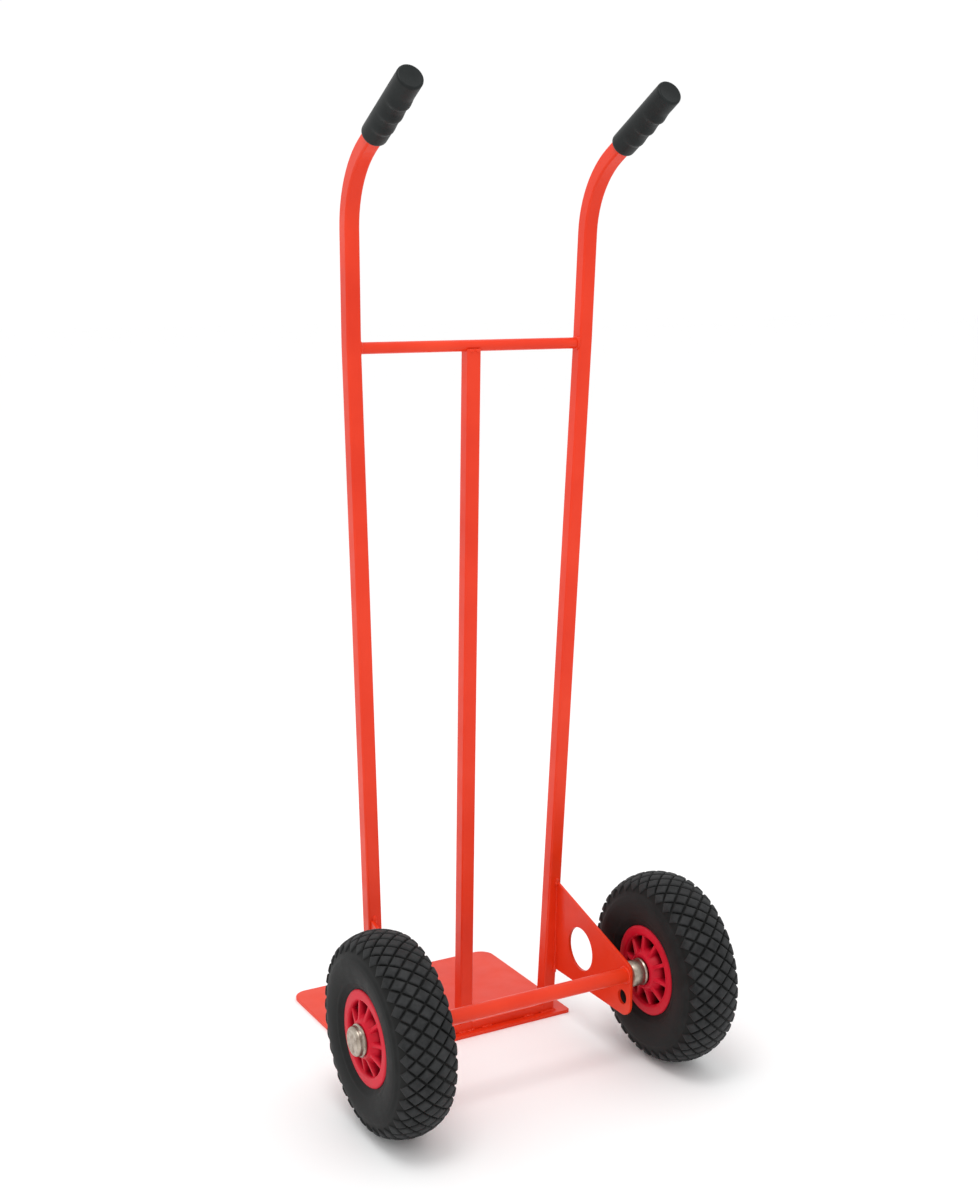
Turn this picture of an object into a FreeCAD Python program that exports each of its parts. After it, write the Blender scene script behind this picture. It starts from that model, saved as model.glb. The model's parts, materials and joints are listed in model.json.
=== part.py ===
"""Hand truck: welded steel frame with a toe plate and two pneumatic wheels on a through axle.

Units are millimetres. +Z is up, the toe plate points to -Y and the handles to +Y. The origin is
on the floor, midway between the wheels and midway between the plate's front edge and the tyres'
rearmost point. "Left" is +X, as for a person who stands behind the truck.
"""
import FreeCAD, Part
import math
import os
from FreeCAD import Matrix, Vector

# ---------------------------------------------------------------- driving dimensions: frame
TUBE_SIZE = 20.0
TUBE_WALL = 2.0
TUBE_CORNER = 3.0
RAIL_FOOT_SPACING = 272.0  # between rail centre lines, at the floor
RAIL_SPLAY = 2.08  # outward, degrees
RAIL_LEAN = 1.72  # rearward, degrees
UPPER_SPLAY = 1.1  # the same two above the crossbar
UPPER_LEAN = 2.3
SET_RADIUS = 400.0  # of the slight bend at the crossbar

CROSSBAR_HEIGHT = 973.0
CROSSBAR_DIAMETER = 15.0
POST_TOP_DROP = 3.75  # post's top below the crossbar's centre

TOE_PLATE_DEPTH = 252.0
TOE_PLATE_THICKNESS = 5.0
PLATE_SIDE_MARGIN = 21.5  # plate left free beside each rail
PLATE_REAR_MARGIN = 10.6  # and behind the rails
PLATE_FRONT_CORNER = 22.0
PLATE_REAR_CORNER = 5.0
PLATE_EDGE = 0.8
FOOT_BAR_SIZE = 12.0
FOOT_BAR_EDGE = 1.0

HANDLE_BEND_RISE = 145.0  # from the crossbar to the start of the bend
HANDLE_BEND_RADIUS = 117.0
HANDLE_BEND_ANGLE = 58.0
HANDLE_BARE = 21.0  # straight tube left free between the bend and the grip
GRIP_DIAMETER = 33.4
GRIP_LENGTH = 116.0
GRIP_END_WALL = 4.0
GRIP_CLEARANCE = 0.1
GRIP_RIDGES = 3
GRIP_RIDGE_START = 38.5  # first ridge, from the closed end
GRIP_RIDGE_PITCH = 25.0
GRIP_RIDGE_HEIGHT = 4.0
GRIP_RIDGE_HALF_WIDTH = 6.0
GRIP_EDGE = 2.5

GUSSET_THICKNESS = 4.0
GUSSET_STEP = 4.0  # its outer face beyond the rail's outer face, at the floor
GUSSET_BELOW_AXLE = 60.0
GUSSET_ABOVE_AXLE = 75.0  # at the rail
GUSSET_REAR_RISE = 15.0  # above the axle, at the rear end of the slanted edge
GUSSET_REAR_MARGIN = 11.7  # behind the axle's centre
GUSSET_UPPER_CORNER = 14.0
GUSSET_LOWER_CORNER = 20.0
GUSSET_EDGE = 0.7
LARGE_HOLE_DIAMETER = 62.0
LARGE_HOLE_FORWARD = 114.2  # ahead of the axle's centre
LARGE_HOLE_DROP = 4.8  # below the axle's centre
SPARE_HOLE_FORWARD = 7.5
SPARE_HOLE_DROP = 34.5

# ---------------------------------------------------------------- driving dimensions: wheels
WHEEL_DIAMETER = 260.0
AXLE_SETBACK = 194.2  # behind the rails' foot centre line
AXLE_DIAMETER = 20.0
AXLE_HOLE_CLEARANCE = 0.25
LEFT_WHEEL_TURN = -10.0  # where each wheel stands at rest, degrees
RIGHT_WHEEL_TURN = 11.0

TYRE_WIDTH = 83.0
TYRE_CROWN_WALL = 9.0
TYRE_SIDE_WALL = 6.5
TYRE_WIDEST = 0.42  # where the tyre is widest, as a share of its height above the rim
TYRE_SHOULDER = 0.82  # the shoulder's width, as a share of the tyre's
TYRE_SHOULDER_DROP = 0.15  # below the crown, as a share of the tyre's height
INNER_TUBE_WALL = 2.0
INNER_TUBE_CROWN_GAP = 2.0  # to the tyre's inside
INNER_TUBE_SIDE_GAP = 5.0

RIM_WIDTH = 68.5
RIM_FLANGE_DIAMETER = 123.5
RIM_SEAT_DIAMETER = 102.0
RIM_WALL = 4.0
RIM_FLANGE_THICKNESS = 2.5
RIM_RECESS = 4.0  # ribs stand this far behind the flange face
RIM_RIBS = 10
RIM_RIB_THICKNESS = 5.0
RIM_WEB_THICKNESS = 6.0
RIM_FLANGE_ROUND = 2.0
HUB_LENGTH = 78.0
HUB_END_WALL = 7.0
HUB_BASE_WALL = 14.0

ROLLER_DIAMETER = 4.9
ROLLER_COUNT = 8
ROLLER_END_SPACE = 9.0  # from each end of the hub
CAGE_END_RING = 3.0
CAGE_THICKNESS = 2.6
SLEEVE_WALL = 2.0
SLEEVE_END_INSET = 1.0
RUNNING_CLEARANCE = 0.05
SIDE_CLEARANCE = 0.3

COLLAR_LENGTH = 21.7
COLLAR_WALL = 7.5
COLLAR_LIP_HEIGHT = 1.2
COLLAR_LIP_WIDTH = 3.5
WASHER_WALL = 10.0
WASHER_THICKNESS = 2.0
CAP_MARGIN = 9.0  # from the axle's surface to the cap's
CAP_LIP_HEIGHT = 2.0
CAP_LIP_WIDTH = 1.6
CAP_HEIGHT = 10.0
CAP_WALL = 1.2
CAP_ROUND = 4.0
AXLE_END_MARGIN = 2.0  # between the axle's end and the inside of the cap

VALVE_DIAMETER = 7.0
VALVE_HOLE_CLEARANCE = 0.5
VALVE_BEND_RADIUS = 6.0
VALVE_DEPTH = 10.0  # how far the stem reaches inside the rim's barrel
VALVE_STRAIGHT = 11.0
VALVE_CAP_DIAMETER = 8.0
VALVE_CAP_LENGTH = 9.0
VALVE_CAP_ROUND = 1.0

WELD = 3.0  # leg of a fillet weld
WELD_ROOT = 0.5  # how far a bead's outline starts inside the piece that it sits on
TACK_RADIUS = 3.5
POST_TACK_OFFSET = 5.0
FOOT_BAR_TACKS = (0.2, 0.8)  # shares of the bar's length

# ---------------------------------------------------------------- derived places
WHEEL_RADIUS = WHEEL_DIAMETER / 2
OVERALL_DEPTH = (TOE_PLATE_DEPTH - PLATE_REAR_MARGIN - TUBE_SIZE / 2
                 + AXLE_SETBACK + WHEEL_RADIUS)
PLATE_WIDTH = RAIL_FOOT_SPACING + TUBE_SIZE + 2 * PLATE_SIDE_MARGIN
PLATE_FRONT_Y = -OVERALL_DEPTH / 2
PLATE_REAR_Y = PLATE_FRONT_Y + TOE_PLATE_DEPTH
RAIL_FOOT_Y = PLATE_REAR_Y - PLATE_REAR_MARGIN - TUBE_SIZE / 2
AXLE_Y = RAIL_FOOT_Y + AXLE_SETBACK
AXLE_Z = WHEEL_RADIUS
AXLE_RADIUS = AXLE_DIAMETER / 2
GUSSET_OUTER_X = (RAIL_FOOT_SPACING + TUBE_SIZE) / 2 + GUSSET_STEP
GUSSET_INNER_X = GUSSET_OUTER_X - GUSSET_THICKNESS
GUSSET_BOTTOM = AXLE_Z - GUSSET_BELOW_AXLE
GUSSET_TOP = AXLE_Z + GUSSET_ABOVE_AXLE
HUB_INNER_X = GUSSET_OUTER_X + COLLAR_LENGTH + SIDE_CLEARANCE
WHEEL_X = HUB_INNER_X + HUB_LENGTH / 2
HUB_OUTER_X = HUB_INNER_X + HUB_LENGTH
CAP_FACE_X = HUB_OUTER_X + SIDE_CLEARANCE + WASHER_THICKNESS + CAP_HEIGHT
AXLE_HALF_LENGTH = CAP_FACE_X - CAP_WALL - AXLE_END_MARGIN

RIM_SEAT_RADIUS = RIM_SEAT_DIAMETER / 2
RIM_FLANGE_RADIUS = RIM_FLANGE_DIAMETER / 2
ROLLER_RADIUS = ROLLER_DIAMETER / 2
ROLLER_PITCH_RADIUS = AXLE_RADIUS + RUNNING_CLEARANCE + ROLLER_RADIUS
ROLLER_HALF_LENGTH = HUB_LENGTH / 2 - ROLLER_END_SPACE
SLEEVE_INNER_RADIUS = ROLLER_PITCH_RADIUS + ROLLER_RADIUS + RUNNING_CLEARANCE
SLEEVE_OUTER_RADIUS = SLEEVE_INNER_RADIUS + SLEEVE_WALL
HUB_END_RADIUS = SLEEVE_OUTER_RADIUS + HUB_END_WALL
HUB_BASE_RADIUS = SLEEVE_OUTER_RADIUS + HUB_BASE_WALL
QUARTER_BULGE = 1 - math.sqrt(0.5)  # middle of a quarter round, as a share of its radius

X_AXIS = Vector(1, 0, 0)
Y_AXIS = Vector(0, 1, 0)
Z_AXIS = Vector(0, 0, 1)
ORIGIN = Vector(0, 0, 0)


# ---------------------------------------------------------------- general shapes
def rounded_face(corners):
    """Flat face through (point, radius) corners, each rounded by its own radius or left sharp."""
    rounds = []
    for index, (point, radius) in enumerate(corners):
        back = (corners[index - 1][0] - point).normalize()
        ahead = (corners[(index + 1) % len(corners)][0] - point).normalize()
        half_angle = back.getAngle(ahead) / 2
        tangent = radius / math.tan(half_angle)
        inward = (back + ahead).normalize()
        middle = point + inward * (radius / math.sin(half_angle) - radius)
        rounds.append((point + back * tangent, middle, point + ahead * tangent))
    edges = []
    for index, (start, middle, end) in enumerate(rounds):
        if corners[index][1] > 0:
            edges.append(Part.Arc(start, middle, end).toShape())
        following = rounds[(index + 1) % len(rounds)][0]
        edges.append(Part.LineSegment(end, following).toShape())
    return Part.Face(Part.Wire(edges))


def rounded_square(size, corner):
    """Square face in the XY plane, centred on the origin."""
    half = size / 2
    signs = ((1, -1), (1, 1), (-1, 1), (-1, -1))
    return rounded_face([(Vector(half * x, half * y, 0), corner) for x, y in signs])


def tube_face(hollow):
    """Section of the square tube, with or without its bore."""
    outer = rounded_square(TUBE_SIZE, TUBE_CORNER)
    if not hollow:
        return outer
    bore = rounded_square(TUBE_SIZE - 2 * TUBE_WALL, TUBE_CORNER - TUBE_WALL)
    return outer.cut(bore).Faces[0]


def placed(shape, place, along, towards):
    """Copy of a shape drawn in XY, with its Z along one direction and its Y towards another."""
    side = towards.cross(along).normalize()
    up = along.cross(side).normalize()
    matrix = Matrix(side.x, up.x, along.x, place.x,
                    side.y, up.y, along.y, place.y,
                    side.z, up.z, along.z, place.z,
                    0, 0, 0, 1)
    return shape.transformed(matrix)


class Run:
    """Carries a flat section along straight runs and arcs, and keeps each stretch as a solid."""

    def __init__(self, section, place, along, towards):
        self.face = placed(section, place, along, towards)
        self.place = Vector(place)
        self.along = Vector(along).normalize()
        self.solids = []

    def straight(self, length):
        step = self.along * length
        self.solids.append(self.face.extrude(step))
        self.face = self.face.translated(step)
        self.place = self.place + step

    def bend(self, towards, radius, angle):
        """Turn by an angle in degrees towards a direction, on a centre-line radius."""
        inward = towards - self.along * towards.dot(self.along)
        inward = Vector(inward).normalize()
        centre = self.place + inward * radius
        axis = self.along.cross(inward)
        self.solids.append(self.face.revolve(centre, axis, angle))
        self.face = self.face.rotated(centre, axis, angle)
        turn = FreeCAD.Rotation(axis, angle)
        self.place = centre + turn.multVec(self.place - centre)
        self.along = turn.multVec(self.along)

    def solid(self):
        body = self.solids[0]
        if len(self.solids) > 1:
            body = body.multiFuse(self.solids[1:]).removeSplitter()
        return body


def cylinder_x(radius, low, high, y, z):
    return Part.makeCylinder(radius, high - low, Vector(low, y, z), X_AXIS)


def ring_x(inner_radius, outer_radius, low, high):
    """Washer or sleeve about the axle's line."""
    outside = cylinder_x(outer_radius, low, high, AXLE_Y, AXLE_Z)
    return outside.cut(cylinder_x(inner_radius, low, high, AXLE_Y, AXLE_Z))


def turned(outline):
    """Solid turned about the axle's line from (x, radius) points and arcs between them."""
    edges = []
    for piece in outline:
        points = [Vector(x, AXLE_Y, AXLE_Z + radius) for x, radius in piece]
        if len(points) == 3:
            edges.append(Part.Arc(*points).toShape())
        else:
            edges.append(Part.LineSegment(*points).toShape())
    face = Part.Face(Part.Wire(edges))
    return face.revolve(Vector(0, AXLE_Y, AXLE_Z), X_AXIS, 360)


def polygon_pieces(points):
    return [(start, end) for start, end in zip(points, points[1:] + points[:1])]


def round_edges(shape):
    return [edge for edge in shape.Edges if edge.isClosed()]


def mirrored(shape):
    return shape.mirror(ORIGIN, X_AXIS)


def group(solids):
    return Part.makeCompound(solids)


# ---------------------------------------------------------------- frame
def rail_direction(splay, lean):
    return Vector(math.tan(math.radians(splay)), math.tan(math.radians(lean)), 1).normalize()


def rail_run(hollow):
    """Left rail, carried from the floor plane to the handle's end."""
    lower = rail_direction(RAIL_SPLAY, RAIL_LEAN)
    upper = rail_direction(UPPER_SPLAY, UPPER_LEAN)
    foot = Vector(RAIL_FOOT_SPACING / 2, RAIL_FOOT_Y, 0)
    run = Run(tube_face(hollow), foot, lower, Y_AXIS)
    run.straight(CROSSBAR_HEIGHT / lower.z)
    run.bend(upper, SET_RADIUS, math.degrees(lower.getAngle(upper)))
    run.straight((CROSSBAR_HEIGHT + HANDLE_BEND_RISE - run.place.z) / upper.z)
    run.bend(Y_AXIS, HANDLE_BEND_RADIUS, HANDLE_BEND_ANGLE)
    run.straight(HANDLE_BARE + GRIP_LENGTH - GRIP_END_WALL)
    return run


def below_plate_top():
    """Block that trims what stands on the toe plate."""
    reach = 2 * PLATE_WIDTH
    return Part.makeBox(reach, reach, reach,
                        Vector(-reach / 2, RAIL_FOOT_Y - reach / 2, TOE_PLATE_THICKNESS - reach))


def make_rail(run):
    return run.solid().cut(below_plate_top())


def rail_centre(height):
    """Centre of the left rail's lower run at a height."""
    lower = rail_direction(RAIL_SPLAY, RAIL_LEAN)
    return Vector(RAIL_FOOT_SPACING / 2, RAIL_FOOT_Y, 0) + lower * (height / lower.z)


def post_run(hollow):
    lean = rail_direction(0, RAIL_LEAN)
    run = Run(tube_face(hollow), Vector(0, RAIL_FOOT_Y, 0), lean, Y_AXIS)
    run.straight(CROSSBAR_HEIGHT / lean.z)
    return run.solid()


def make_crossbar(solid_rails):
    centre = rail_centre(CROSSBAR_HEIGHT)
    bar = cylinder_x(CROSSBAR_DIAMETER / 2, -centre.x, centre.x, centre.y, CROSSBAR_HEIGHT)
    return bar.cut(solid_rails)


def make_post(hollow_post, solid_post):
    """Post from the plate up round the crossbar's lower half, as a tube and as a filled bar."""
    centre = rail_centre(CROSSBAR_HEIGHT)
    cope = cylinder_x(CROSSBAR_DIAMETER / 2, -TUBE_SIZE, TUBE_SIZE, centre.y, CROSSBAR_HEIGHT)
    above = Part.makeBox(2 * TUBE_SIZE, 2 * TUBE_SIZE, 2 * TUBE_SIZE,
                         Vector(-TUBE_SIZE, centre.y - TUBE_SIZE,
                                CROSSBAR_HEIGHT - POST_TOP_DROP))
    trims = [below_plate_top(), cope, above]
    return hollow_post.cut(trims), solid_post.cut(trims)


def make_toe_plate():
    half = PLATE_WIDTH / 2
    corners = [(Vector(half, PLATE_FRONT_Y, 0), PLATE_FRONT_CORNER),
               (Vector(half, PLATE_REAR_Y, 0), PLATE_REAR_CORNER),
               (Vector(-half, PLATE_REAR_Y, 0), PLATE_REAR_CORNER),
               (Vector(-half, PLATE_FRONT_Y, 0), PLATE_FRONT_CORNER)]
    plate = rounded_face(corners).extrude(Z_AXIS * TOE_PLATE_THICKNESS)
    rims = [edge for edge in plate.Edges if edge.BoundBox.ZLength < TOE_PLATE_THICKNESS / 2]
    return plate.makeFillet(PLATE_EDGE, rims)


def make_foot_bar(solid_rails, solid_post):
    """Bar on the plate from the post to the left rail, level with their rear faces."""
    rear = RAIL_FOOT_Y + TUBE_SIZE / 2
    bar = Part.makeBox(RAIL_FOOT_SPACING / 2, FOOT_BAR_SIZE, FOOT_BAR_SIZE,
                       Vector(0, rear - FOOT_BAR_SIZE, TOE_PLATE_THICKNESS))
    long_edges = [edge for edge in bar.Edges if edge.BoundBox.XLength > FOOT_BAR_SIZE]
    bar = bar.makeFillet(FOOT_BAR_EDGE, long_edges)
    return bar.cut([solid_rails, solid_post])


def make_gusset(solid_rails):
    """Side plate from the back of the rail to the axle."""
    corner_line = TUBE_SIZE / 2 - TUBE_CORNER
    low_front = rail_centre(GUSSET_BOTTOM).y + corner_line
    high_front = rail_centre(GUSSET_TOP).y + corner_line
    rear = AXLE_Y + GUSSET_REAR_MARGIN
    corners = [(Vector(GUSSET_INNER_X, low_front, GUSSET_BOTTOM), 0),
               (Vector(GUSSET_INNER_X, rear, GUSSET_BOTTOM), GUSSET_LOWER_CORNER),
               (Vector(GUSSET_INNER_X, rear, AXLE_Z + GUSSET_REAR_RISE), GUSSET_UPPER_CORNER),
               (Vector(GUSSET_INNER_X, high_front, GUSSET_TOP), 0)]
    plate = rounded_face(corners).extrude(X_AXIS * GUSSET_THICKNESS)
    rims = [edge for edge in plate.Edges if edge.BoundBox.XLength < GUSSET_THICKNESS / 2
            and edge.CenterOfMass.y > high_front + GUSSET_THICKNESS]
    plate = plate.makeFillet(GUSSET_EDGE, rims)
    holes = [(LARGE_HOLE_DIAMETER / 2, LARGE_HOLE_FORWARD, LARGE_HOLE_DROP),
             (AXLE_RADIUS + AXLE_HOLE_CLEARANCE, SPARE_HOLE_FORWARD, SPARE_HOLE_DROP),
             (AXLE_RADIUS, 0, 0)]
    cutters = [cylinder_x(radius, GUSSET_INNER_X, GUSSET_OUTER_X,
                          AXLE_Y - forward, AXLE_Z - drop)
               for radius, forward, drop in holes]
    return plate.cut(cutters + [solid_rails])


# ---------------------------------------------------------------- welds
def bead_ring(radius, base_x, direction, y, z):
    """Fillet weld round a bar that meets a flat wall, as a short cone on the wall."""
    start = Vector(base_x - direction * WELD_ROOT, y, z)
    return Part.makeCone(radius + WELD, radius + WELD_ROOT, WELD + WELD_ROOT,
                         start, X_AXIS * direction)


def foot_frame(centre):
    """Fillet weld round the foot of a square tube, before the tube is cut from it."""
    half = TUBE_SIZE / 2
    low = Part.makePlane(TUBE_SIZE + 2 * WELD, TUBE_SIZE + 2 * WELD,
                         Vector(centre.x - half - WELD, centre.y - half - WELD,
                                TOE_PLATE_THICKNESS)).OuterWire
    high = Part.makePlane(TUBE_SIZE, TUBE_SIZE,
                          Vector(centre.x - half, centre.y - half,
                                 TOE_PLATE_THICKNESS + WELD)).OuterWire
    return Part.makeLoft([low, high], True)


def make_crossbar_welds(solid_rails, crossbar):
    centre = rail_centre(CROSSBAR_HEIGHT)
    bead = bead_ring(CROSSBAR_DIAMETER / 2, centre.x - TUBE_SIZE / 2, -1,
                     centre.y, CROSSBAR_HEIGHT)
    bead = bead.cut([solid_rails, crossbar])
    return group([bead, mirrored(bead)])


def make_post_top_welds(solid_post, crossbar):
    """Short tacks under the crossbar, two on the post's rear face and two on its front."""
    centre = rail_centre(CROSSBAR_HEIGHT)
    beads = []
    for side in (-1, 1):
        for offset in (-POST_TACK_OFFSET, POST_TACK_OFFSET):
            place = Vector(offset, centre.y + side * TUBE_SIZE / 2,
                           CROSSBAR_HEIGHT - CROSSBAR_DIAMETER / 2)
            beads.append(Part.makeSphere(TACK_RADIUS, place).cut([solid_post, crossbar]))
    return group(beads)


def make_foot_welds(solid_rails, solid_post, foot_bars):
    beads = []
    for centre in (rail_centre(0), Vector(0, RAIL_FOOT_Y, 0)):
        beads.append(foot_frame(centre).cut([solid_rails, solid_post, foot_bars]))
    beads.append(mirrored(beads[0]))
    return group(beads)


def make_foot_bar_welds(foot_bars, toe_plate):
    """Tacks along each foot bar's rear lower edge."""
    rear = RAIL_FOOT_Y + TUBE_SIZE / 2
    span = RAIL_FOOT_SPACING / 2 - TUBE_SIZE
    beads = []
    for share in FOOT_BAR_TACKS:
        place = Vector(TUBE_SIZE / 2 + span * share, rear, TOE_PLATE_THICKNESS)
        bead = Part.makeSphere(TACK_RADIUS, place).cut([foot_bars, toe_plate])
        beads += [bead, mirrored(bead)]
    return group(beads)


def make_gusset_welds(gusset, solid_rails):
    """Fillet along the gusset's inner face, with a tack at each end of the joint."""
    low = rail_centre(GUSSET_BOTTOM)
    high = rail_centre(GUSSET_TOP)
    rear = low.y + TUBE_SIZE / 2
    section = [(GUSSET_INNER_X, low.y), (GUSSET_INNER_X, rear + WELD),
               (GUSSET_INNER_X - WELD, rear), (GUSSET_INNER_X - WELD, low.y)]
    corners = [(Vector(x, y, GUSSET_BOTTOM), 0) for x, y in section]
    seam = rounded_face(corners).extrude(Vector(0, high.y - low.y, high.z - low.z))
    tacks = [Part.makeSphere(TACK_RADIUS, Vector(GUSSET_INNER_X, end.y + TUBE_SIZE / 2, end.z))
             for end in (low, high)]
    bead = seam.multiFuse(tacks).cut([gusset, solid_rails])
    return group([bead, mirrored(bead)])


def make_axle_welds(gusset):
    bead = bead_ring(AXLE_RADIUS, GUSSET_INNER_X, -1, AXLE_Y, AXLE_Z)
    bead = bead.cut([gusset, cylinder_x(AXLE_RADIUS, 0, WHEEL_X, AXLE_Y, AXLE_Z)])
    return group([bead, mirrored(bead)])


# ---------------------------------------------------------------- grips
def make_grip(run):
    """Closed rubber sleeve with finger ridges on its underside."""
    back = run.along * -1
    end = run.place + run.along * GRIP_END_WALL
    radius = GRIP_DIAMETER / 2
    sleeve = Part.makeCylinder(radius, GRIP_LENGTH, end, back)
    sleeve = sleeve.makeFillet(GRIP_EDGE, round_edges(sleeve))
    under = run.along.cross(X_AXIS)
    shallow = radius - GRIP_RIDGE_HEIGHT
    ridges = []
    for index in range(GRIP_RIDGES):
        crest = end + back * (GRIP_RIDGE_START + index * GRIP_RIDGE_PITCH)
        crest = crest + under * GRIP_RIDGE_HEIGHT
        for side in (run.along, back):
            ridges.append(Part.makeCone(radius, shallow, GRIP_RIDGE_HALF_WIDTH, crest, side))
    bore = rounded_square(TUBE_SIZE + 2 * GRIP_CLEARANCE, TUBE_CORNER + GRIP_CLEARANCE)
    bore = placed(bore, run.place, run.along, Y_AXIS)
    bore = bore.extrude(back * GRIP_LENGTH)
    return sleeve.multiFuse(ridges).cut(bore)


# ---------------------------------------------------------------- wheel, drawn at +X
def wheel_point(across, radius):
    return (WHEEL_X + across, radius)


def mirrored_pieces(pieces):
    """The same half outline on the other side of the wheel, run the other way."""
    return [tuple((-across, radius) for across, radius in reversed(piece))
            for piece in reversed(pieces)]


def turned_wheel(pieces):
    return turned([tuple(wheel_point(*point) for point in piece) for piece in pieces])


def make_tyre():
    """Open carcass: beads on the rim's seats, side walls, and a rounded crown."""
    height = WHEEL_RADIUS - RIM_FLANGE_RADIUS
    bead_x = RIM_WIDTH / 2 - RIM_FLANGE_THICKNESS
    toe_x = bead_x - TYRE_SIDE_WALL
    side_x = TYRE_WIDTH / 2
    side_r = RIM_FLANGE_RADIUS + TYRE_WIDEST * height
    shoulder_x = TYRE_SHOULDER * side_x
    drop = TYRE_SHOULDER_DROP * height
    shoulder_r = WHEEL_RADIUS - drop
    crown_arc = (shoulder_x ** 2 + drop ** 2) / (2 * drop)
    half_turn = math.asin(shoulder_x / crown_arc) / 2
    middle_x = crown_arc * math.sin(half_turn)
    middle_r = WHEEL_RADIUS - crown_arc * (1 - math.cos(half_turn))
    cover_x = shoulder_x - TYRE_SIDE_WALL / 2
    cover_r = shoulder_r - TYRE_CROWN_WALL
    outer = [((toe_x, RIM_SEAT_RADIUS), (bead_x, RIM_SEAT_RADIUS)),
             ((bead_x, RIM_SEAT_RADIUS), (bead_x, RIM_FLANGE_RADIUS)),
             ((bead_x, RIM_FLANGE_RADIUS), (side_x, side_r), (shoulder_x, shoulder_r)),
             ((shoulder_x, shoulder_r), (middle_x, middle_r), (0, WHEEL_RADIUS))]
    inner = [((0, WHEEL_RADIUS - TYRE_CROWN_WALL), (middle_x, middle_r - TYRE_CROWN_WALL),
              (cover_x, cover_r)),
             ((cover_x, cover_r), (side_x - TYRE_SIDE_WALL, side_r),
              (toe_x, RIM_FLANGE_RADIUS)),
             ((toe_x, RIM_FLANGE_RADIUS), (toe_x, RIM_SEAT_RADIUS))]
    return turned_wheel(outer + mirrored_pieces(outer) + mirrored_pieces(inner) + inner)


def inner_tube_radii():
    """Radius of the inner tube's centre line and of its section."""
    crown = WHEEL_RADIUS - TYRE_CROWN_WALL - INNER_TUBE_CROWN_GAP
    section = min((crown - RIM_FLANGE_RADIUS) / 2,
                  TYRE_WIDTH / 2 - TYRE_SIDE_WALL - INNER_TUBE_SIDE_GAP)
    return crown - section, section


def inner_tube_torus(section):
    place = Vector(WHEEL_X, AXLE_Y, AXLE_Z)
    return Part.makeTorus(inner_tube_radii()[0], section, place, X_AXIS)


def make_inner_tube():
    section = inner_tube_radii()[1]
    return inner_tube_torus(section).cut(inner_tube_torus(section - INNER_TUBE_WALL))


def rim_barrel():
    """Barrel with a flange each side, and the recess in front of the ribs."""
    face = RIM_WIDTH / 2
    recess = face - RIM_RECESS
    inside = RIM_SEAT_RADIUS - RIM_WALL
    ring = RIM_SEAT_RADIUS - RIM_WALL / 2
    corner = RIM_FLANGE_RADIUS - RIM_FLANGE_ROUND
    bulge = RIM_FLANGE_ROUND * QUARTER_BULGE
    bead_x = face - RIM_FLANGE_THICKNESS
    outline = [((0, inside), (recess, inside)),
               ((recess, inside), (face, ring)),
               ((face, ring), (face, corner)),
               ((face, corner), (face - bulge, RIM_FLANGE_RADIUS - bulge),
                (face - RIM_FLANGE_ROUND, RIM_FLANGE_RADIUS)),
               ((face - RIM_FLANGE_ROUND, RIM_FLANGE_RADIUS), (bead_x, RIM_FLANGE_RADIUS)),
               ((bead_x, RIM_FLANGE_RADIUS), (bead_x, RIM_SEAT_RADIUS)),
               ((bead_x, RIM_SEAT_RADIUS), (0, RIM_SEAT_RADIUS))]
    closing = ((0, RIM_SEAT_RADIUS), (0, inside))
    near_side = turned_wheel(outline + [closing])
    far_side = turned_wheel(mirrored_pieces(outline) + [closing[::-1]])
    return [near_side, far_side]


def rim_hub():
    """Hub boss, widest where the ribs join it."""
    half = HUB_LENGTH / 2
    base_x = RIM_WIDTH / 2 - 2 * RIM_RECESS
    points = [(-half, HUB_END_RADIUS), (-base_x, HUB_BASE_RADIUS), (base_x, HUB_BASE_RADIUS),
              (half, HUB_END_RADIUS), (half, 0), (-half, 0)]
    return turned_wheel(polygon_pieces(points))


def make_rim():
    """One-piece plastic rim: barrel, centre web, ribs on both sides, and hub."""
    barrel_r = RIM_SEAT_RADIUS - RIM_WALL / 2
    hub_r = (SLEEVE_OUTER_RADIUS + HUB_END_RADIUS) / 2
    rib_outer = RIM_WIDTH / 2 - RIM_RECESS
    rib_inner = HUB_LENGTH / 2 - RIM_RECESS / 2
    outline = [(-rib_inner, hub_r), (rib_inner, hub_r), (rib_outer, barrel_r),
               (-rib_outer, barrel_r)]
    corners = [(Vector(WHEEL_X + across, AXLE_Y - RIM_RIB_THICKNESS / 2, AXLE_Z + radius), 0)
               for across, radius in outline]
    rib = rounded_face(corners).extrude(Y_AXIS * RIM_RIB_THICKNESS)
    centre = Vector(WHEEL_X, AXLE_Y, AXLE_Z)
    ribs = [rib.rotated(centre, X_AXIS, 360 / RIM_RIBS * index) for index in range(RIM_RIBS)]
    web = ring_x(hub_r, barrel_r, WHEEL_X - RIM_WEB_THICKNESS / 2,
                 WHEEL_X + RIM_WEB_THICKNESS / 2)
    body = rim_hub().multiFuse(rim_barrel() + [web] + ribs)
    bore = cylinder_x(SLEEVE_OUTER_RADIUS, HUB_INNER_X, HUB_OUTER_X, AXLE_Y, AXLE_Z)
    foot, inward = valve_line()
    depth = RIM_FLANGE_RADIUS - RIM_SEAT_RADIUS + 2 * RIM_WALL
    hole = Part.makeCylinder(VALVE_DIAMETER / 2 + VALVE_HOLE_CLEARANCE, depth,
                             foot - inward * RIM_FLANGE_RADIUS, inward)
    return body.cut([bore, hole]).removeSplitter()


def valve_line():
    """Point of the axle's line under the stem, and the stem's way in, between two ribs."""
    angle = math.pi / RIM_RIBS
    inward = Vector(0, -math.sin(angle), -math.cos(angle))
    return Vector(WHEEL_X - RIM_WEB_THICKNESS / 2 - VALVE_DIAMETER, AXLE_Y, AXLE_Z), inward


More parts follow.
